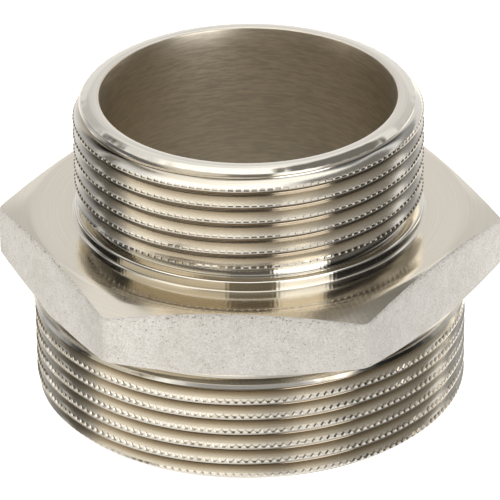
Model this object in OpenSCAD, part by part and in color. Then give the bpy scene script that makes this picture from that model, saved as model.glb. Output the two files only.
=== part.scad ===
/* [Overall] */
// length from the large end's face to the small end's face
total_length = 43.5; // [43.5:0.5:60]
// height of the hexagon's upper face above the large end's face
hex_top_z = 26.2; // [25.8:0.1:26.4]
// height of the hexagon's lower face above the large end's face
hex_bottom_z = 16.8; // [16.6:0.1:17.5]

/* [Hexagon] */
// distance across the flats
across_flats = 60.4; // [60.4:0.1:66]
// diameter the corners are turned to
corner_d = 69.2; // [66:0.1:69.2]
// diameter where the upper corner chamfer starts
upper_chamfer_d = 59.4; // [56:0.1:60]
// slope of the upper corner chamfer, degrees from level
upper_chamfer_slope = 13.5; // [8:0.5:30]
// diameter where the lower corner chamfer starts
lower_chamfer_d = 60.2; // [60.1:0.1:61]
// slope of the lower corner chamfer, degrees from level
lower_chamfer_slope = 18.5; // [8:0.5:30]

/* [Threads] */
// pitch of both threads, 11 threads per inch
pitch = 2.309; // [2.209:0.001:2.4]
// angle between a thread's two flanks
thread_angle = 55; // [55:1:58]
// depth of both threads below the crest
thread_depth = 1.4; // [1.2:0.05:1.45]
// width left flat on the crest
crest_width = 0.5; // [0.4:0.05:0.6]
// crest diameter of the small thread, G 1 1/2 A
small_thread_d = 47.7; // [47.44:0.01:47.8]
// crest diameter of the large thread, G 2 A
large_thread_d = 59.6; // [59.26:0.01:59.61]
// height of the small thread's lowest full crest at the front
small_crest_z = 29.7; // [29.5:0.01:29.9]
// height of the large thread's last full crest at the front
large_crest_z = 14.88; // [14.7:0.01:15]

/* [Necks] */
// diameter of the plain collar above the hexagon
small_collar_d = 48.0; // [47.8:0.1:49]
// height of the plain collar above the hexagon
small_collar_h = 1.45; // [1.2:0.05:1.6]
// edge break on the upper collar
small_collar_break = 0.25; // [0.1:0.05:0.4]
// diameter of the plain collar below the hexagon
large_collar_d = 60.0; // [59.8:0.1:60]
// height of the plain collar below the hexagon
large_collar_h = 0.5; // [0.4:0.05:0.8]
// width of the relief groove between the upper collar and its thread
relief_w = 1.65; // [1.4:0.05:1.7]
// depth of the relief groove below the thread's crest
relief_depth = 1.55; // [1.45:0.05:1.6]

/* [Ends] */
// depth of the lead-in chamfer at the large end
large_lead = 1.2; // [0.8:0.1:1.6]
// depth of the lead-in chamfer at the small end
small_lead = 1.25; // [1.2:0.05:1.6]
// width of the flat rim at the small end, outside the bore
small_rim_w = 1.1; // [0.8:0.05:1.3]
// height of the shallow bevel between the rim and the lead-in chamfer
small_rim_h = 0.5; // [0.1:0.05:0.6]

/* [Bore] */
// bore diameter at the small end
small_bore_d = 40.4; // [38:0.1:40.4]
// bore diameter at the large end
large_bore_d = 51.6; // [46:0.1:51.6]
// height where the bore starts to open towards the large end
bore_step_z = 20.0; // [18:0.5:21]
// slope of the cone between the two bores, degrees from level
bore_cone_slope = 45; // [30:1:45]
// edge break at both mouths of the bore
bore_break = 0.3; // [0.1:0.05:0.4]

/* [Quality] */
// steps in one turn of a thread
steps_per_turn = 48; // [36:6:60]

/* [Hidden] */
$fn = 180;
slack = 0.5;
small_r = small_thread_d / 2;
large_r = large_thread_d / 2;
relief_r = small_r - relief_depth;
root_width = pitch - crest_width - 2 * thread_depth * tan(thread_angle / 2);
small_collar_top = hex_top_z + small_collar_h;
large_collar_bottom = hex_bottom_z - large_collar_h;
upper_drop = (corner_d - upper_chamfer_d) / 2 * tan(upper_chamfer_slope);
lower_rise = (corner_d - lower_chamfer_d) / 2 * tan(lower_chamfer_slope);
small_thread_turns = ceil((total_length - small_collar_top) / pitch) + 1;
large_thread_turns = ceil(large_collar_bottom / pitch) + 2;

// one thread groove: a right-hand helix that starts at the front, below the given crest
module thread_groove(crest_r, z_start, turns) {
    root_r = crest_r - thread_depth;
    outer_r = crest_r + slack / 2;
    root_half = root_width / 2;
    outer_half = root_half + (outer_r - root_r) * tan(thread_angle / 2);
    steps = turns * steps_per_turn;
    section = [
        [outer_r, -outer_half], [root_r, -root_half],
        [root_r, root_half], [outer_r, outer_half]
    ];
    points = [
        for (i = [0 : steps]) let (t = i / steps_per_turn, a = 360 * t - 90)
            for (p = section) [p[0] * cos(a), p[0] * sin(a), z_start + pitch * t + p[1]]
    ];
    sides = [
        for (i = [0 : steps - 1]) for (k = [0 : 3])
            let (a = 4 * i + k, b = 4 * i + (k + 1) % 4)
                for (f = [[a, b + 4, b], [a, a + 4, b + 4]]) f
    ];
    last = 4 * steps;
    polyhedron(
        points = points,
        faces = concat(
            [[0, 1, 2, 3]], sides, [[last + 3, last + 2, last + 1, last]]
        )
    );
}

// small end: neck, threaded barrel, lead-in chamfer and rim
module small_end() {
    rim_r = small_bore_d / 2 + small_rim_w;
    lead_top = total_length - small_rim_h;
    difference() {
        rotate_extrude() polygon([
            [0, hex_bottom_z + slack], [relief_r, hex_bottom_z + slack],
            [relief_r, small_collar_top + relief_w],
            [small_r, small_collar_top + relief_w], [small_r, lead_top - small_lead],
            [small_r - small_lead, lead_top], [rim_r, total_length], [0, total_length]
        ]);
        thread_groove(small_r, small_crest_z - pitch / 2, small_thread_turns);
    }
}

// large end: threaded barrel that runs out against its collar
module large_end() {
    difference() {
        rotate_extrude() polygon([
            [0, 0], [large_r - large_lead, 0], [large_r, large_lead],
            [large_r, large_collar_bottom + slack / 2],
            [0, large_collar_bottom + slack / 2]
        ]);
        thread_groove(
            large_r, large_crest_z - pitch * (large_thread_turns - 1.5), large_thread_turns
        );
    }
}

// plain collars on both sides of the hexagon
module collars() {
    small_collar_r = small_collar_d / 2;
    translate([0, 0, large_collar_bottom])
        cylinder(d = large_collar_d, h = large_collar_h + slack);
    rotate_extrude() polygon([
        [0, hex_top_z - slack], [small_collar_r, hex_top_z - slack],
        [small_collar_r, small_collar_top - small_collar_break],
        [small_collar_r - small_collar_break, small_collar_top], [0, small_collar_top]
    ]);
}

// hexagon with its corners turned and chamfered from both sides
module hexagon_band() {
    intersection() {
        translate([0, 0, hex_bottom_z - slack])
            cylinder(
                d = across_flats / cos(30), h = hex_top_z - hex_bottom_z + 2 * slack,
                $fn = 6
            );
        rotate_extrude() polygon([
            [0, hex_bottom_z], [lower_chamfer_d / 2, hex_bottom_z],
            [corner_d / 2, hex_bottom_z + lower_rise],
            [corner_d / 2, hex_top_z - upper_drop],
            [upper_chamfer_d / 2, hex_top_z], [0, hex_top_z]
        ]);
    }
}

// through bore, wider towards the large end
module flow_bore() {
    small_bore_r = small_bore_d / 2;
    large_bore_r = large_bore_d / 2;
    cone_bottom_z = bore_step_z - (large_bore_r - small_bore_r) * tan(bore_cone_slope);
    rotate_extrude() polygon([
        [0, -slack], [large_bore_r + bore_break + slack, -slack],
        [large_bore_r, bore_break], [large_bore_r, cone_bottom_z],
        [small_bore_r, bore_step_z], [small_bore_r, total_length - bore_break],
        [small_bore_r + bore_break + slack, total_length + slack],
        [0, total_length + slack]
    ]);
}

// the whole nipple, one piece of plated brass
module nipple_body() {
    color([0.78, 0.75, 0.69]) difference() {
        union() {
            large_end();
            hexagon_band();
            collars();
            small_end();
        }
        flow_bore();
    }
}

nipple_body();
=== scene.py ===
import math

import bpy
import numpy as np
from mathutils import Matrix, Vector


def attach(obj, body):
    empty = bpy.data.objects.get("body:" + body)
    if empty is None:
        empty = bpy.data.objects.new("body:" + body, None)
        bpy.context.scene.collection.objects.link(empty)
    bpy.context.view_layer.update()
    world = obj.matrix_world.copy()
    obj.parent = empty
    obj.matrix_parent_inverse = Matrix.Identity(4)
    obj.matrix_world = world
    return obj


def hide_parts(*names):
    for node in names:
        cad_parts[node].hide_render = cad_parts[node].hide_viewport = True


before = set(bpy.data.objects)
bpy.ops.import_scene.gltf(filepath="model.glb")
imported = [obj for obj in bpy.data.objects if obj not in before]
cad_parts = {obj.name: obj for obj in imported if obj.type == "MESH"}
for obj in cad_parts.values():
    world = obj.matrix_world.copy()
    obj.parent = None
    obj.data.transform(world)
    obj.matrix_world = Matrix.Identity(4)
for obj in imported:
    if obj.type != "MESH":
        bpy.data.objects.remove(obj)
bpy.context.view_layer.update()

MM = 0.001
TURN = 2 * math.pi
CAMERA_ANGLE = math.radians(-86.1)          # where the camera stands, seen from above
BACK_ANGLE = CAMERA_ANGLE - math.pi         # away from it: the threads' seam, and 0 in the light tables

# ---- sizes in mm, the same as the CAD's --------------------------------------------------------
PITCH = 2.309
LENGTH = 43.5
HEX_TOP, HEX_BOTTOM = 26.2, 16.8
ACROSS_FLATS = 60.4
UPPER_CHAMFER_R, UPPER_SLOPE = 29.7, math.radians(13.5)
LOWER_SLOPE = math.radians(18.5)
SMALL_R, LARGE_R = 23.85, 29.8
RELIEF_R, RELIEF_LO, RELIEF_HI = 22.3, 27.65, 29.3
COLLAR_R, LOW_COLLAR_R, LOW_COLLAR_Z = 24.0, 30.0, 16.3
BORE_R, WIDE_BORE_R, CONE_LO, CONE_HI = 20.2, 25.8, 14.4, 20.0
MOUTH_BREAK = 0.3
LARGE_LEAD = 1.2
FLANK = 1 / math.tan(math.radians(27.5))    # depth gained per mm of height on a flank

# ---- sizes in mm that only the visual model has ------------------------------------------------
SMALL_CREST_Z, LARGE_CREST_Z = 29.44, 12.25 # a crest's lower edge, on the camera's side
ROOT_DEPTH = 1.38
ROOT_LIFT, ROOT_HALF_W, ROOT_RISE = 0.04, 0.4, 0.35   # rounding in the middle of a root
RIDGE_W, RIDGE_RISE, RIDGE_SLOPE = 0.20, 0.20, 0.8    # the sharper last crest under the large collar
LEAD_LO, LEAD_BEND = 41.6, 42.6             # heights where the small end's lead-in chamfer starts and bends
LEAD_BEND_R = SMALL_R - (LEAD_BEND - LEAD_LO)
LEAD_TOP = 42.98
LOWER_CHAMFER_R = 30.05
CORNER_ROUND, EDGE_BREAK = 1.75, 0.22
ROW_GAP = 0.025                             # thread rows closer than this to a level ring join the ring
SHARP_ANGLE = math.radians(24)              # edges that turn by more than this look sharp

# the surfaces' finishes, in the order of the list that finishes() returns
TURNED, FACED, BLASTED, BORED, SMALL_FLANK, LARGE_FLANK, LAND, LIP, NOTCH, RIM = range(10)


def smooth_noise(theta, seed, waves, amount):
    """A sum of a few whole-turn waves, so that it closes on itself."""
    g = np.random.default_rng(seed)
    out = np.zeros_like(theta)
    for n in waves:
        out = out + g.normal() * np.cos(n * theta + g.uniform(0, TURN))
    return out * amount / math.sqrt(len(waves))


def around(count):
    """Angles evenly spaced over one turn."""
    return TURN * np.arange(count) / count


# ---- mesh --------------------------------------------------------------------------------------
class Shell:
    """Points and faces of one closed mesh, in mm."""

    def __init__(self):
        self.points, self.faces, self.marks = [], [], []
        self.count = 0

    def add(self, theta, r, z):
        """Adds points in cylinder coordinates and returns their numbers."""
        theta, r, z = np.broadcast_arrays(np.asarray(theta, float), r, z)
        self.points.append(np.stack([r * np.cos(theta), r * np.sin(theta), z], -1).reshape(-1, 3))
        first = self.count
        self.count += theta.size
        return first + np.arange(theta.size)

    def face(self, corners, mark):
        self.faces += corners
        self.marks += [mark] * len(corners)

    def ragged(self, table, mark):
        """Faces whose corners may share a point: repeated corners and faces without area are dropped."""
        for f in table.tolist():
            f = [v for i, v in enumerate(f) if v != f[i - 1]]
            if len(set(f)) == len(f) > 2:
                self.face([f], mark)

    def bridge(self, a, b, mark):
        """Quads between two rings with the same angles, b on the far side of a along the surface."""
        j = np.arange(len(a))
        k = (j + 1) % len(a)
        self.face(np.stack([a[j], a[k], b[k], b[j]], -1).tolist(), mark)

    def stitch(self, a, ta, b, tb, mark):
        """Triangles between two rings with different angles ta and tb."""
        ta, tb = ta % TURN, tb % TURN
        a, ta = a[np.argsort(ta)], np.sort(ta)
        b, tb = b[np.argsort(tb)], np.sort(tb)
        i = j = 0
        out = []
        while i < len(a) or j < len(b):
            next_a = ta[i + 1] if i + 1 < len(a) else ta[(i + 1) % len(a)] + TURN
            next_b = tb[j + 1] if j + 1 < len(b) else tb[(j + 1) % len(b)] + TURN
            if j >= len(b) or (i < len(a) and next_a <= next_b):
                out.append([a[i], a[(i + 1) % len(a)], b[j % len(b)]])
                i += 1
            else:
                out.append([a[i % len(a)], b[(j + 1) % len(b)], b[j]])
                j += 1
        self.face([[int(v) for v in f] for f in out], mark)

    def to_object(self, name):
        mesh = bpy.data.meshes.new(name)
        mesh.from_pydata((np.concatenate(self.points) * MM).tolist(), [], self.faces)
        mesh.polygons.foreach_set("material_index", np.array(self.marks, np.int32))
        mesh.polygons.foreach_set("use_smooth", np.ones(len(self.marks), bool))
        mesh.update()
        mesh.set_sharp_from_angle(angle=SHARP_ANGLE)
        obj = bpy.data.objects.new(name, mesh)
        bpy.context.scene.collection.objects.link(obj)
        return obj


class Thread:
    """One right-hand thread with pockets knurled into its crests.

    s is the height above the crest's lower edge, and depth goes inward from the crest. A crest is a lip,
    then a land that the pockets interrupt. rib is the share of a pocket's spacing on each side of the
    pocket, flare widens the pocket upward, and drift is how far the pockets lean from one turn to the next,
    as a share of their spacing. From the turn plain_from up, the crest is a plain ridge. knots are the
    heights of the rows between the crest's upper flank and the next crest.
    """

    def __init__(self, crest_r, crest_z, lead, land, lip, cut, notches, rib, flare, drift, plain_from, knots):
        self.crest_r, self.lead, self.land, self.lip, self.cut = crest_r, lead, land, lip, cut
        self.plain_from, self.knots = plain_from, knots
        self.top = land + cut / FLANK
        self.start = crest_z - PITCH / 2                     # the camera's side is half a turn on
        self.drift = drift / notches * TURN / PITCH
        self.turn = np.array([(j + u) / notches for j in range(notches) for u in (rib, 1 - rib)])
        self.flare = np.tile([-flare, flare], notches) / notches

    def depth(self, s):
        root_w = PITCH - self.land - 2 * ROOT_DEPTH / FLANK
        from_middle = s - (self.land + ROOT_DEPTH / FLANK + root_w / 2)
        deep = np.where(s <= self.land, 0, np.minimum((s - self.land) * FLANK, (PITCH - s) * FLANK))
        hollow = ROOT_DEPTH - ROOT_LIFT - (from_middle / ROOT_HALF_W) ** 2 * ROOT_RISE
        return np.where(np.abs(from_middle) < ROOT_HALF_W, np.minimum(deep, hollow), deep)

    def place(self, z, s, extra, turns):
        """Angle and radius for points at height z, cut deeper by extra."""
        turn = turns % 1.0
        theta = BACK_ANGLE + TURN * turn + self.drift * (z - self.start)
        beside_ridge = np.where(s <= self.land, np.abs(s - self.land / 2) - RIDGE_W / 2, 0)
        ridge = np.maximum(self.depth(s), np.maximum(beside_ridge, 0) * FLANK * RIDGE_SLOPE) - RIDGE_RISE
        deep = np.where(turns > self.plain_from, ridge, self.depth(s) + extra)
        burr = 0.012 * np.sin(TURN * turn * 23 + turns * 9) * np.sin(TURN * turn * 61 + turns * 2)
        r = self.crest_r - deep + np.where(s <= self.land, burr, 0)
        return theta, np.minimum(r, self.lead(z))

    def ring(self, shell, z):
        """A level ring on the thread's surface."""
        rise = z - self.start - PITCH * self.turn
        s = rise - np.floor(rise / PITCH) * PITCH
        theta, r = self.place(np.full(len(s), z), s, 0, np.floor(rise / PITCH) + self.turn)
        return shell.add(theta, r, z), theta

    def build(self, shell, z_lo, z_hi, flank):
        """A surface whose rows follow the thread, between level rings at z_lo and z_hi, which it returns."""
        turn = self.turn
        ring_lo, theta_lo = self.ring(shell, z_lo)
        ring_hi, theta_hi = self.ring(shell, z_hi)
        first = math.floor((z_lo - self.start) / PITCH) - 2
        last = math.ceil((z_hi - self.start) / PITCH) + 1
        whole = np.arange(first, last + 1)[:, None]

        def row(s, extra=0.0, flare=0.0):
            """Point numbers of one row in every turn. The last column is the next turn's first point."""
            turns = whole + turn[None, :] + flare * self.flare[None, :]
            z = self.start + PITCH * turns + s
            low, high = z < z_lo + ROW_GAP, z > z_hi - ROW_GAP
            live = ~(low | high)
            index = np.where(low, ring_lo[None, :], ring_hi[None, :])
            cut = extra * (1 + 0.15 * np.sin(TURN * turn * 19) * np.sin(TURN * turn * 7 + whole))
            theta, r = self.place(z[live], np.full(live.sum(), s), cut[live], turns[live])
            index[live] = shell.add(theta, r, z[live])
            next_turn = np.append(index[1:, 0], ring_hi[0])
            return np.concatenate([index, next_turn[:, None]], 1)

        edge, lip, land = row(0.0), row(self.lip), row(self.land, flare=1.0)
        pocket, top = row(self.lip, extra=self.cut), row(self.top, flare=1.0)
        is_plain = whole + np.append(turn, 1.0)[None, :] > self.plain_from
        pocket = np.where(is_plain, lip, pocket)
        plain, knurled = is_plain[:, :-1], ~is_plain[:, :-1]
        rows = [top] + [row(s) for s in self.knots]
        rows.append(np.concatenate([edge[1:], np.append(ring_hi, ring_hi[0])[None, :]]))

        def column(table, odd, side):
            """The left (0) or right (1) points of the pockets (odd 0) or of the ribs between them (odd 1)."""
            return (table[:, 1:] if side else table[:, :-1])[:, odd::2]

        def patch(corners, mark, odd, where):
            faces = np.stack([column(table, odd, side).ravel() for table, side in corners], -1)
            shell.ragged(faces[where[:, odd::2].ravel()], mark)

        def strip(a, b, mark, odd, where):
            patch([(a, 0), (a, 1), (b, 1), (b, 0)], mark, odd, where)

        for odd in (0, 1):
            strip(edge, lip, LIP, odd, knurled)
            for a, b in ((edge, lip), (lip, land), (land, top)):
                strip(a, b, flank, odd, plain)
            for a, b in zip(rows, rows[1:]):
                strip(a, b, flank, odd, plain | knurled)
        pocket_floor = [(lip, 0), (lip, 1), (pocket, 1), (pocket, 0)]
        pocket_back = [(pocket, 0), (pocket, 1), (top, 1), (top, 0)]
        pocket_left = [(lip, 0), (pocket, 0), (top, 0), (land, 0)]
        pocket_right = [(lip, 1), (land, 1), (top, 1), (pocket, 1)]
        for corners in (pocket_floor, pocket_back, pocket_left, pocket_right):
            patch(corners, NOTCH, 0, knurled)
        strip(lip, land, LAND, 1, knurled)
        strip(land, top, flank, 1, knurled)
        return (ring_lo, theta_lo), (ring_hi, theta_hi)


# ---- the nipple's surfaces ---------------------------------------------------------------------
def bore(shell):
    """From the wide end's mouth up to the rim. Returns the first and last rings and their angles."""
    theta = around(192)
    profile = [(WIDE_BORE_R + MOUTH_BREAK, 0.0), (WIDE_BORE_R, MOUTH_BREAK)]
    profile += [(WIDE_BORE_R, z) for z in (5, 10, CONE_LO)]
    profile += [(BORE_R, z) for z in (CONE_HI, 24, 28, 32, 36, 40, LENGTH - 0.22)]
    profile += [(BORE_R + 0.06, LENGTH - 0.07), (BORE_R + 0.22, LENGTH)]
    rings = [shell.add(theta, r, z) for r, z in profile]
    for a, b in zip(rings, rings[1:]):
        shell.bridge(b, a, BORED)
    return rings[0], rings[-1], theta


def small_thread(shell):
    def lead(z):
        straight = np.minimum(SMALL_R, LEAD_BEND_R + (LEAD_BEND - z)) + (z < LEAD_LO)
        return np.where(z > LEAD_BEND, LEAD_BEND_R - (z - LEAD_BEND) * 0.6, straight)

    knots = [0.60, 0.82, 0.99, 1.12, 1.24, 1.34, 1.44, 1.56, 1.78, 2.05]
    thread = Thread(SMALL_R, SMALL_CREST_Z, lead, land=0.36, lip=0.14, cut=0.16, notches=144, rib=0.15,
                    flare=0.0, drift=0.03, plain_from=math.inf, knots=knots)
    return thread.build(shell, RELIEF_HI, LEAD_TOP, SMALL_FLANK)


def rim(shell, low, theta, bore_top, bore_theta):
    """Two shallow facets and a flat, from the lead-in chamfer to the bore's edge."""
    burr = smooth_noise(theta, 21, (37, 53, 71, 97, 131), 0.02)
    for r, z, ragged in ((22.64, 43.02, 1.0), (22.55, 43.04, 0.6), (22.02, 43.33, 0.0), (21.3, LENGTH, 0.0)):
        ring = shell.add(theta, r + ragged * burr, z + ragged * burr)
        shell.bridge(low, ring, RIM)
        low = ring
    shell.stitch(low, theta, bore_top, bore_theta, RIM)


def neck(shell, thread_foot, thread_theta):
    """Relief groove, collar and the turned ring on the hexagon, going down. Returns the last ring."""
    theta = around(576)
    chatter = smooth_noise(theta, 5, range(171, 200, 4), 0.004)
    low = shell.add(theta, RELIEF_R, RELIEF_HI)
    shell.stitch(low, theta, thread_foot, thread_theta, TURNED)
    wobble = smooth_noise(theta, 3, (2, 3, 5), 0.01)
    groove = [(RELIEF_R, 28.5), (RELIEF_R + 0.02, 27.8)]
    collar = [(22.42, RELIEF_LO), (23.62, RELIEF_LO), (23.80, 27.60), (23.93, 27.50), (COLLAR_R, 27.36),
              (COLLAR_R, 26.8), (COLLAR_R, 26.36), (24.05, 26.27), (24.16, 26.22), (24.30, HEX_TOP)]
    for r, z in groove + collar:
        ring = shell.add(theta, r + wobble + (chatter if (r, z) in groove else 0), z)
        shell.bridge(ring, low, TURNED)
        low = ring
    for r in (25.5, 27.0, 28.5):
        ring = shell.add(theta, r, HEX_TOP)
        shell.bridge(ring, low, FACED)
        low = ring
    return low, theta


def hex_outline():
    """Angles round the hexagon, closer together at its rounded corners, and the outline's radius there."""
    half = ACROSS_FLATS / 2
    centre = (half - CORNER_ROUND) / math.cos(math.pi / 6)            # centre of a corner's arc
    tangent = math.atan2(CORNER_ROUND * math.sin(math.pi / 6), centre + CORNER_ROUND * math.cos(math.pi / 6))
    sixth = []
    for a in np.linspace(-math.pi / 6, math.pi / 6, 9):
        x, y = centre + CORNER_ROUND * math.cos(a), CORNER_ROUND * math.sin(a)
        sixth.append((math.atan2(y, x), math.hypot(x, y)))
    for a in np.linspace(tangent, math.pi / 3 - tangent, 42)[1:-1]:
        sixth.append((a, half / math.cos(a - math.pi / 6)))
    theta = np.concatenate([[a + k * math.pi / 3 for a, _ in sixth] for k in range(6)])
    return theta, np.tile([r for _, r in sixth], 6)


def hexagon(shell, neck_ring, neck_theta):
    """From the turned ring over upper chamfers and flats to the large collar. Returns the last ring."""
    theta, rho = hex_outline()
    ragged = smooth_noise(theta, 11, (31, 53, 77, 101, 140), 0.03)
    top_z = HEX_TOP - (rho - UPPER_CHAMFER_R) * math.tan(UPPER_SLOPE)
    bottom_z = HEX_BOTTOM + np.maximum(rho - LOWER_CHAMFER_R, 0) * math.tan(LOWER_SLOPE)
    low = shell.add(theta, UPPER_CHAMFER_R, HEX_TOP)
    shell.stitch(low, theta, neck_ring, neck_theta, FACED)

    def down_to(r, z, mark):
        nonlocal low
        ring = shell.add(theta, r, z)
        shell.bridge(ring, low, mark)
        low = ring

    edge_r = rho - EDGE_BREAK
    inner_rings = [UPPER_CHAMFER_R + (edge_r - UPPER_CHAMFER_R) * share for share in (0.35, 0.7)]
    for r in (*inner_rings, edge_r + ragged):
        down_to(r, HEX_TOP - (r - UPPER_CHAMFER_R) * math.tan(UPPER_SLOPE), FACED)
    down_to(rho - EDGE_BREAK * 0.35, top_z - EDGE_BREAK * 0.35 + ragged, BLASTED)
    side_rows = 14
    for i in range(side_rows + 1):
        f = i / side_rows
        dent = smooth_noise(theta, 40 + i, (9, 17, 26, 43, 70), 0.012) if 0 < i < side_rows else 0
        down_to(rho + dent - 0.02, (top_z - EDGE_BREAK) * (1 - f) + (bottom_z + EDGE_BREAK) * f, BLASTED)
    down_to(np.maximum(edge_r, LOW_COLLAR_R + 0.06), bottom_z + 0.02 + np.abs(ragged), BLASTED)
    down_to(LOW_COLLAR_R + 0.02, HEX_BOTTOM, TURNED)
    return low, theta


def large_end(shell, hex_ring, hex_theta, bore_foot, bore_theta):
    """Large collar, large thread with its lead-in chamfer, and the end's face."""
    def lead(z):
        return np.where(z < LARGE_LEAD, LARGE_R - (LARGE_LEAD - z), LARGE_R + 1)

    knots = [0.90, 1.06, 1.20, 1.32, 1.42, 1.52, 1.64, 1.80, 2.05]
    thread = Thread(LARGE_R, LARGE_CREST_Z, lead, land=0.60, lip=0.20, cut=0.24, notches=175, rib=0.32,
                    flare=0.28, drift=0.2, plain_from=0.9, knots=knots)
    (foot, foot_theta), (top, theta) = thread.build(shell, 0.0, LOW_COLLAR_Z, LARGE_FLANK)
    profile = [(LOW_COLLAR_R, HEX_BOTTOM - 0.06), (LOW_COLLAR_R, LOW_COLLAR_Z + 0.08),
               (LOW_COLLAR_R - 0.08, LOW_COLLAR_Z)]
    collar = [shell.add(theta, r, z) for r, z in profile]
    shell.stitch(collar[0], theta, hex_ring, hex_theta, TURNED)
    for a, b in zip([*collar[1:], top], collar):
        shell.bridge(a, b, LIP)
    shell.stitch(bore_foot, bore_theta, foot, foot_theta, FACED)


def nipple_shell():
    shell = Shell()
    bore_foot, bore_top, bore_theta = bore(shell)
    (thread_foot, foot_theta), (thread_top, top_theta) = small_thread(shell)
    rim(shell, thread_top, top_theta, bore_top, bore_theta)
    hex_ring, hex_theta = hexagon(shell, *neck(shell, thread_foot, foot_theta))
    large_end(shell, hex_ring, hex_theta, bore_foot, bore_theta)
    return shell


# ---- shader nodes ------------------------------------------------------------------------------
class Nodes:
    """A short way to write shader nodes: each call makes one and returns its output socket."""

    def __init__(self, tree):
        self.tree = tree
        tree.nodes.clear()

    def new(self, kind, **settings):
        node = self.tree.nodes.new(kind)
        for key, value in settings.items():
            setattr(node, key, value)
        return node

    def wire(self, node, name, value):
        socket = node.inputs[name]
        if isinstance(value, bpy.types.NodeSocket):
            self.tree.links.new(value, socket)
        else:
            socket.default_value = value

    def math(self, operation, a, b=0.0):
        node = self.new("ShaderNodeMath", operation=operation)
        self.wire(node, 0, a)
        self.wire(node, 1, b)
        return node.outputs[0]

    def add(self, a, b):
        return self.math("ADD", a, b)

    def minus(self, a, b):
        return self.math("SUBTRACT", a, b)

    def times(self, a, b):
        return self.math("MULTIPLY", a, b)

    def above(self, a, b):
        return self.math("GREATER_THAN", a, b)

    def ramp(self, value, stops, smooth=True):
        node = self.new("ShaderNodeValToRGB")
        node.color_ramp.interpolation = "EASE" if smooth else "LINEAR"
        elements = node.color_ramp.elements
        while len(elements) < len(stops):
            elements.new(0.5)
        for element, (at, colour) in zip(elements, stops):
            element.position = at
            grey = isinstance(colour, (int, float))
            element.color = (*((colour,) * 3 if grey else colour), 1)
        self.wire(node, 0, value)
        return node.outputs[0]

    def step(self, value, low, high):
        """0 below low and 1 above high, with a soft step between."""
        return self.ramp(value, [(low, 0.0), (high, 1.0)])

    def mix(self, factor, a, b, blend="MIX"):
        node = self.new("ShaderNodeMix", data_type="RGBA", blend_type=blend)
        self.wire(node, 0, factor)
        self.wire(node, 6, a)
        self.wire(node, 7, b)
        return node.outputs[2]

    def tint(self, base, by):
        return self.mix(1.0, base, by, "MULTIPLY")

    def noise(self, vector, scale, detail=2.0, rough=0.5):
        node = self.new("ShaderNodeTexNoise")
        self.wire(node, "Vector", vector)
        self.wire(node, "Scale", scale)
        self.wire(node, "Detail", detail)
        self.wire(node, "Roughness", rough)
        return node.outputs["Fac"]

    def combine(self, x, y, z):
        node = self.new("ShaderNodeCombineXYZ")
        for i, value in enumerate((x, y, z)):
            self.wire(node, i, value)
        return node.outputs[0]

    def split(self, vector):
        node = self.new("ShaderNodeSeparateXYZ")
        self.wire(node, 0, vector)
        return node.outputs

    def object_point(self):
        return self.new("ShaderNodeTexCoord").outputs["Object"]

    def cylinder_point(self):
        """Angle, radius in mm and height in mm of the shaded point."""
        x, y, z = self.split(self.object_point())
        radius = self.math("SQRT", self.add(self.times(x, x), self.times(y, y)))
        return self.math("ARCTAN2", y, x), self.times(radius, 1 / MM), self.times(z, 1 / MM)

    def bump(self, shader, height, distance_mm, strength=1.0):
        node = self.new("ShaderNodeBump")
        self.wire(node, "Strength", strength)
        self.wire(node, "Distance", distance_mm * MM)
        self.wire(node, "Height", height)
        self.wire(shader, "Normal", node.outputs[0])

    def output(self, shader, kind="ShaderNodeOutputMaterial"):
        self.wire(self.new(kind), 0, shader)


def new_material(name):
    material = bpy.data.materials.new(name)
    material.use_nodes = True
    return material, Nodes(material.node_tree)


# ---- finishes ----------------------------------------------------------------------------------
# painted shade by depth below the crest, as a share of the depth set below: bright down to a quarter, then
# darker and browner towards the root, standing in for the shade in the thread's hollows
ROOT_SHADE_DEPTH = 1.5
ROOT_PAINTED_SHADE = [(0.0, 1.0), (0.25, 1.0), (0.47, (0.84, 0.82, 0.78)), (0.62, (0.70, 0.66, 0.60)),
             (0.75, (0.56, 0.51, 0.44)), (0.85, (0.44, 0.38, 0.31)), (0.92, (0.36, 0.31, 0.25))]
CHATTER_WAVES = 244.0                       # per radian


def small_crest_r(n, z):
    """Radius of the small thread's crest, or of the lead-in chamfer where that cuts it."""
    return n.math("MINIMUM", SMALL_R, n.minus(LEAD_BEND_R + LEAD_BEND, z))


def large_crest_r(n, z):
    return n.math("MINIMUM", LARGE_R, n.add(z, LARGE_R - LARGE_LEAD))


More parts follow.
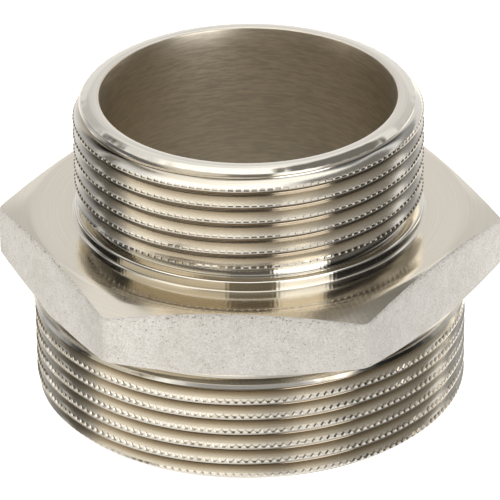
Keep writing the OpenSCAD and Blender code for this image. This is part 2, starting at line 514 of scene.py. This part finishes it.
def metal(name, colour, rough, aniso=0.0, streak=0.1, fine=8.0, spin=1.6, metallic=1.0, scratch=0.0,
          chatter=0.0, comb=0.0, crest_r=None, threaded=None):
    """Nickel plate with tool marks that run round the axis.

    streak is how much darker the marks are, fine how many there are to the mm and spin how short they are.
    scratch is their height in mm. chatter is the height in mm of patchy waves across the cut, and comb adds
    even ones. crest_r and threaded, a lowest and a highest z, paint shade into a thread's roots: the colour
    darkens with depth below the crest.
    """
    material, n = new_material(name)
    angle, radius, z = n.cylinder_point()
    marks = n.noise(n.combine(n.times(angle, spin), n.times(radius, fine), n.times(z, fine)), 1.0, 4.0, 0.65)
    base = n.mix(n.step(marks, 0.3, 0.7), (*[c * (1 - streak) for c in colour], 1), (*colour, 1))
    if crest_r:
        low, high = threaded
        inside = n.times(n.above(z, low), n.math("LESS_THAN", z, high))
        depth = n.times(n.minus(crest_r(n, z), radius), inside)
        # painted shade: the colour darkens with depth towards the thread's root
        base = n.tint(base, n.ramp(n.times(depth, 1 / ROOT_SHADE_DEPTH), ROOT_PAINTED_SHADE, smooth=False))
    shader = n.new("ShaderNodeBsdfPrincipled")
    n.wire(shader, "Base Color", base)
    n.wire(shader, "Metallic", metallic)
    n.wire(shader, "Roughness", n.add(rough, n.times(n.minus(marks, 0.5), rough * 0.5)))
    n.wire(shader, "Anisotropic", aniso)
    n.wire(shader, "Anisotropic Rotation", 0.25)
    tangent = n.new("ShaderNodeTangent", direction_type="RADIAL", axis="Z")
    n.wire(shader, "Tangent", tangent.outputs[0])
    if chatter:
        waves = n.math("SINE", n.times(angle, CHATTER_WAVES))
        patches = n.noise(n.combine(n.times(angle, 14.0), n.times(radius, 0.8), 0.0), 1.0, 4.0, 0.8)
        n.bump(shader, n.times(n.add(n.times(waves, comb), patches), chatter), 1.0)
    elif scratch:
        n.bump(shader, marks, scratch)
    n.output(shader.outputs[0])
    return material


def blasted():
    """Plated flats with a fine blasted grain, faint clouds and small dark pits, most near the top edge, and
    painted light and shade by the way each flat faces.
    """
    material, n = new_material("blasted_flats")
    point = n.object_point()
    angle, _, z = n.cylinder_point()
    grain = n.noise(point, 4200.0, 2.0, 0.7)
    cloud = n.noise(point, 90.0, 3.0, 0.6)
    mottle = n.noise(point, 650.0, 3.0, 0.7)
    pit = n.noise(point, 3600.0, 1.0, 0.5)
    height = n.times(n.minus(z, HEX_BOTTOM), 1 / (HEX_TOP - HEX_BOTTOM))
    pits = n.ramp(n.minus(pit, n.ramp(height, [(0.80, 0.0), (1.0, 0.10)])), [(0.24, 1.0), (0.31, 0.0)])
    base = n.mix(n.step(cloud, 0.35, 0.65), (0.785, 0.76, 0.725, 1), (0.845, 0.82, 0.79, 1))
    base = n.tint(base, n.ramp(grain, [(0.30, (0.80, 0.79, 0.77)), (0.70, 1.0)]))
    base = n.tint(base, n.ramp(mottle, [(0.35, (0.93, 0.925, 0.915)), (0.62, 1.0)]))
    # painted light and shade: each flat is made lighter or darker by the way it faces, darkest on the front
    # and back flats and lightest on the front-left and back-right ones
    painted_facing_light = n.add(n.times(n.math("COSINE", n.minus(n.times(angle, 2.0), 0.744)), 0.118), 1.027)
    base = n.tint(base, n.combine(painted_facing_light, painted_facing_light, painted_facing_light))
    base = n.mix(n.times(pits, 0.75), base, (0.26, 0.22, 0.17, 1))
    shader = n.new("ShaderNodeBsdfPrincipled")
    n.wire(shader, "Base Color", base)
    n.wire(shader, "Metallic", 0.45)
    n.wire(shader, "Roughness", 0.65)
    n.bump(shader, n.minus(grain, n.times(pits, 1.2)), 0.06, strength=0.9)
    n.output(shader.outputs[0])
    return material


def finishes():
    """All the finishes, in the order TURNED, FACED, BLASTED and so on."""
    flank = dict(rough=0.14, aniso=0.5, streak=0.14, fine=12.0, scratch=0.004)
    small = dict(crest_r=small_crest_r, threaded=(RELIEF_HI, 43.0))
    large = dict(crest_r=large_crest_r, threaded=(0.0, LOW_COLLAR_Z))
    turned = dict(aniso=0.6, streak=0.08, fine=6.0, chatter=0.004, comb=0.3)
    faced = dict(aniso=0.8, streak=0.05, fine=5.0, chatter=0.0042, comb=0.08)
    bored = dict(aniso=0.5, streak=0.20, fine=3.2, spin=9.0, scratch=0.008)
    return [
        metal("turned_nickel", (0.87, 0.83, 0.75), 0.09, **turned),
        metal("faced_nickel", (0.78, 0.725, 0.625), 0.11, **faced),
        blasted(),
        metal("bored_nickel", (0.87, 0.79, 0.66), 0.36, **bored),
        metal("small_flanks", (0.86, 0.825, 0.76), **flank, **small),
        metal("large_flanks", (0.81, 0.775, 0.705), **flank, **large),
        metal("crest_lands", (0.80, 0.775, 0.72), 0.52, scratch=0.003, metallic=0.45),
        metal("crest_edges", (0.58, 0.56, 0.52), 0.20, streak=0.08, scratch=0.003),
        metal("notches", (0.78, 0.74, 0.67), 0.10),
        metal("rim_nickel", (0.80, 0.76, 0.68), 0.10, aniso=0.7, streak=0.06, fine=6.0, scratch=0.0006),
    ]


# ---- studio ------------------------------------------------------------------------------------
# Light by direction, as a share of a turn from the back: left is 0.25, the camera 0.5 and right 0.75.
# The stops were set from brightness readings of the photo and of test renders, so that the metal's
# reflections match that one view. They are fitted to it, and aren't a measurement of a real room.
WARM = (1.0, 0.96, 0.89)
MID = [
    (0.000, 0.82), (0.030, 0.78), (0.045, 0.66), (0.083, 0.60), (0.100, 0.42), (0.112, 0.26), (0.139, 0.06),
    (0.160, 0.004), (0.235, 0.004), (0.250, (0.70, 0.66, 0.56)), (0.420, (0.80, 0.72, 0.58)),
    (0.452, (0.76, 0.69, 0.57)), (0.464, (0.20, 0.18, 0.14)), (0.545, (0.17, 0.15, 0.11)), (0.556, 1.30),
    (0.572, 1.50), (0.640, 1.40), (0.658, 0.008), (0.800, 0.012), (0.835, 0.10), (0.870, 0.34), (0.895, 0.34),
    (0.922, 0.70), (1.000, 0.84),
]
LOW = [(at, tuple(v * c for c in WARM)) for at, v in (
    (0.000, 1.05), (0.111, 1.15), (0.133, 0.93), (0.156, 0.50), (0.178, 0.25), (0.204, 0.17), (0.225, 0.27),
    (0.244, 0.60), (0.262, 1.25), (0.290, 1.40), (0.333, 1.32), (0.444, 1.30), (0.472, 1.20), (0.500, 0.97),
    (0.533, 0.72), (0.556, 0.67), (0.578, 1.03), (0.600, 0.96), (0.622, 0.83), (0.644, 0.55), (0.667, 0.44),
    (0.778, 0.33), (0.800, 0.45), (0.822, 0.80), (0.844, 1.40), (0.890, 1.70), (0.933, 1.35), (1.000, 1.05))]
HORIZON = [
    (0.000, 0.95), (0.120, 0.80), (0.145, 0.50), (0.165, 0.60), (0.190, 0.45), (0.215, 0.14), (0.540, 0.12),
    (0.550, 3.00), (0.640, 3.00), (0.655, 0.14), (0.760, 0.14), (0.810, 0.45), (0.860, 0.80), (1.000, 0.95),
]
HIGH = [
    (0.000, 1.05), (0.030, 0.95), (0.150, 0.85), (0.235, 0.30), (0.260, 1.30), (0.360, 1.40), (0.410, 0.40),
    (0.570, 0.40), (0.610, 0.85), (0.650, 0.60), (0.700, 0.16), (0.765, 0.16), (0.790, 0.80), (0.930, 0.98),
    (1.000, 1.10),
]
CEILING = (1.52, 1.50, 1.45)
# dark flags: from and to round the room with the edge's softness, from and to upward as a sine, brightness
FLAGS = [
    ((0.805, 0.963, 0.012), (0.68, 0.97, 0.02), 0.20),
    ((0.066, 0.165, 0.022), (0.63, 0.71, 0.03), 0.13),
]


def studio():
    """A soft white room with a bright strip to the right front, and dark panels and flags to both sides."""
    world = bpy.data.worlds.new("studio")
    bpy.context.scene.world = world
    world.use_nodes = True
    n = Nodes(world.node_tree)
    x, y, z = n.split(n.new("ShaderNodeTexCoord").outputs["Generated"])
    turn = n.times(n.minus(n.math("ARCTAN2", y, x), BACK_ANGLE + TURN), 1 / TURN)
    turn = n.math("FRACT", n.add(turn, 1.0))
    level = n.add(z, 0.5)                                    # z is the sine of the elevation
    light = n.mix(n.step(level, 0.46, 0.58), n.ramp(turn, LOW), n.ramp(turn, MID))
    at_horizon = n.ramp(level, [(0.42, 0.0), (0.50, 1.0), (0.82, 1.0), (0.90, 0.0)])
    light = n.mix(at_horizon, light, n.ramp(turn, HORIZON))
    light = n.mix(n.step(z, 0.57, 0.62), light, n.ramp(turn, HIGH))
    light = n.mix(n.step(z, 0.80, 0.90), light, (*CEILING, 1))

    def window(value, low, high, edge):
        return n.ramp(value, [(low - edge, 0.0), (low + edge, 1.0), (high - edge, 1.0), (high + edge, 0.0)])

    for across, upward, brightness in FLAGS:
        flag = n.times(window(turn, *across), window(z, *upward))
        light = n.mix(flag, light, (*[brightness * c for c in WARM], 1))
    seen = n.new("ShaderNodeLightPath").outputs["Is Camera Ray"]
    back = n.new("ShaderNodeBackground")
    n.wire(back, "Color", n.mix(seen, light, (1, 1, 1, 1)))
    n.wire(back, "Strength", 1.0)
    n.output(back.outputs[0], "ShaderNodeOutputWorld")


def floor():
    """A pale floor. Mirror rays pass it outside the bore, so that the turned metal sees the room,
    and it is clear from below."""
    mesh = bpy.data.meshes.new("floor")
    half = 3.0                                               # metres
    corners = [(-half, -half, 0), (half, -half, 0), (half, half, 0), (-half, half, 0)]
    mesh.from_pydata(corners, [], [(0, 1, 2, 3)])
    obj = bpy.data.objects.new("floor", mesh)
    obj.location.z = -0.02 * MM
    bpy.context.scene.collection.objects.link(obj)
    material, n = new_material("floor")
    material.cycles.emission_sampling = "NONE"
    _, radius, _ = n.cylinder_point()
    outside = n.above(radius, WIDE_BORE_R + MOUTH_BREAK)
    mirrored = n.new("ShaderNodeLightPath").outputs["Is Glossy Ray"]
    below = n.new("ShaderNodeNewGeometry").outputs["Backfacing"]
    shader = n.new("ShaderNodeBsdfPrincipled")
    n.wire(shader, "Base Color", (0.85, 0.85, 0.84, 1))
    n.wire(shader, "Roughness", 0.9)
    n.wire(shader, "Specular IOR Level", 0.0)
    n.wire(shader, "Emission Color", (1, 1, 1, 1))
    n.wire(shader, "Emission Strength", n.times(outside, 0.9))
    mix = n.new("ShaderNodeMixShader")
    n.wire(mix, 0, n.math("MAXIMUM", n.times(mirrored, outside), below))
    n.wire(mix, 1, shader.outputs[0])
    n.wire(mix, 2, n.new("ShaderNodeBsdfTransparent").outputs[0])
    n.output(mix.outputs[0])
    mesh.materials.append(material)
    return obj


def camera():
    distance, elevation, target = 587.3, math.radians(28.81), Vector((0, 0, 19.39))
    level = math.cos(elevation)
    back = Vector((math.cos(CAMERA_ANGLE) * level, math.sin(CAMERA_ANGLE) * level, math.sin(elevation)))
    data = bpy.data.cameras.new("camera")
    data.sensor_width = 36
    data.lens = 306.5
    data.shift_x, data.shift_y = 0.0008, -0.0012
    data.clip_start, data.clip_end = 0.05, 20
    obj = bpy.data.objects.new("camera", data)
    bpy.context.scene.collection.objects.link(obj)
    look = (-back).to_track_quat("-Z", "Y").to_matrix().to_4x4()
    roll = Matrix.Rotation(math.radians(-0.54), 4, "Z")
    obj.matrix_world = Matrix.Translation((target + back * distance) * MM) @ look @ roll
    bpy.context.scene.camera = obj


# ---- scene -------------------------------------------------------------------------------------
nipple = nipple_shell().to_object("nipple")
for finish in finishes():
    nipple.data.materials.append(finish)
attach(nipple, "root")
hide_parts("nipple_body")

floor()
studio()
camera()

view = bpy.context.scene.view_settings
view.view_transform = "Standard"
view.look = "None"
view.exposure = 0.0
